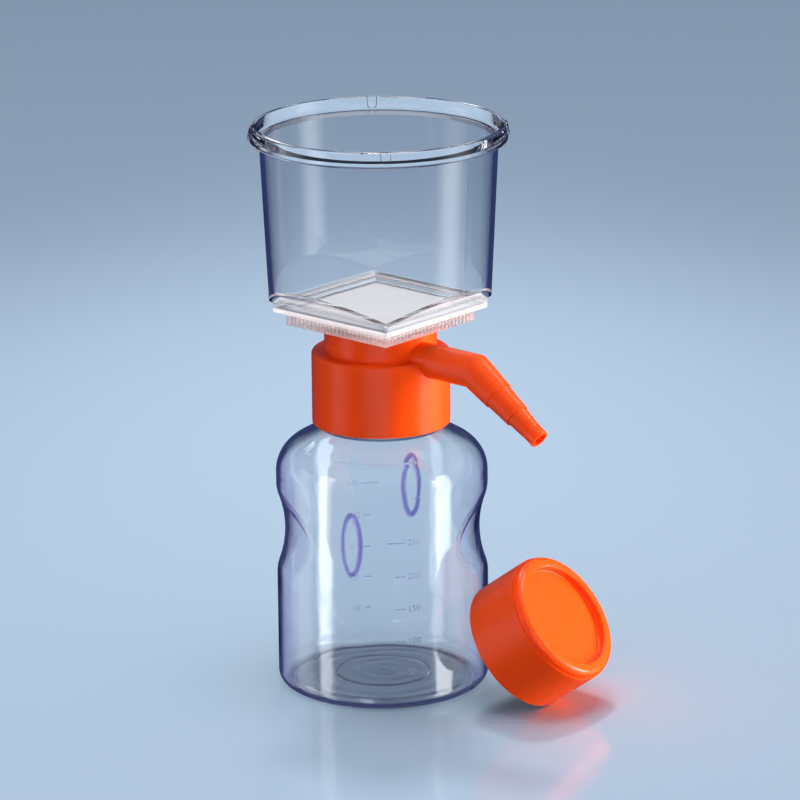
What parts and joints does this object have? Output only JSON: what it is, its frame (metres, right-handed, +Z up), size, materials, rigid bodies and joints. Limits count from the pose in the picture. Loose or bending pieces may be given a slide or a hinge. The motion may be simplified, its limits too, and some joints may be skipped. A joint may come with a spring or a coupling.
{
  "type": "vacuum filtration unit",
  "caption": "Clear receiver bottle with a screw-on filter head: square-based funnel, flat membrane, orange neck adapter with an angled hose port, and a loose orange storage cap.",
  "frame": {"origin": "centre of the bottle's standing ring, on the surface that it stands on", "axes": "+Z up along the axis of the bottle and the funnel, +X along the vacuum port"},
  "size_m": [0.1295, 0.0914, 0.206],
  "materials": {
    "clear_bottle": "clear polystyrene, glossy, blow moulded",
    "seal_rubber": "soft off-white elastomer, matt",
    "orange_adapter": "orange polyethylene, semi-gloss",
    "orange_connector": "orange polyethylene, semi-gloss",
    "clear_plate": "clear polystyrene, glossy, injection moulded",
    "filter_membrane": "white porous membrane, matt",
    "clear_funnel": "clear polystyrene, glossy, injection moulded",
    "orange_cap": "orange polyethylene, semi-gloss"
  },
  "bodies": {
    "bottle": {"receiver_bottle": "clear_bottle", "storage_cap": "orange_cap"},
    "seal": {"neck_seal": "seal_rubber"},
    "filter_head": {"neck_adapter": "orange_adapter", "support_plate": "clear_plate", "membrane": "filter_membrane", "funnel": "clear_funnel"},
    "connector": {"hose_connector": "orange_connector"}
  },
  "joints": [
    {"name": "seal_lift", "type": "slide", "parent": "bottle", "child": "seal", "axis": [0, 0, 1], "range_m": [0, 0.005]},
    {"name": "head_unscrew", "type": "hinge", "parent": "seal", "child": "filter_head", "pos_m": [0, 0, 0.11], "axis": [0, 0, 1], "range_deg": [0, 450]},
    {"name": "connector_swivel", "type": "hinge", "parent": "filter_head", "child": "connector", "pos_m": [0.0257, 0, 0.12362], "axis": [1, 0, 0], "continuous": true}
  ],
  "couplings": [
    {"joint": "seal_lift", "follows": "head_unscrew", "m_per_rad": 0.00063662}
  ]
}
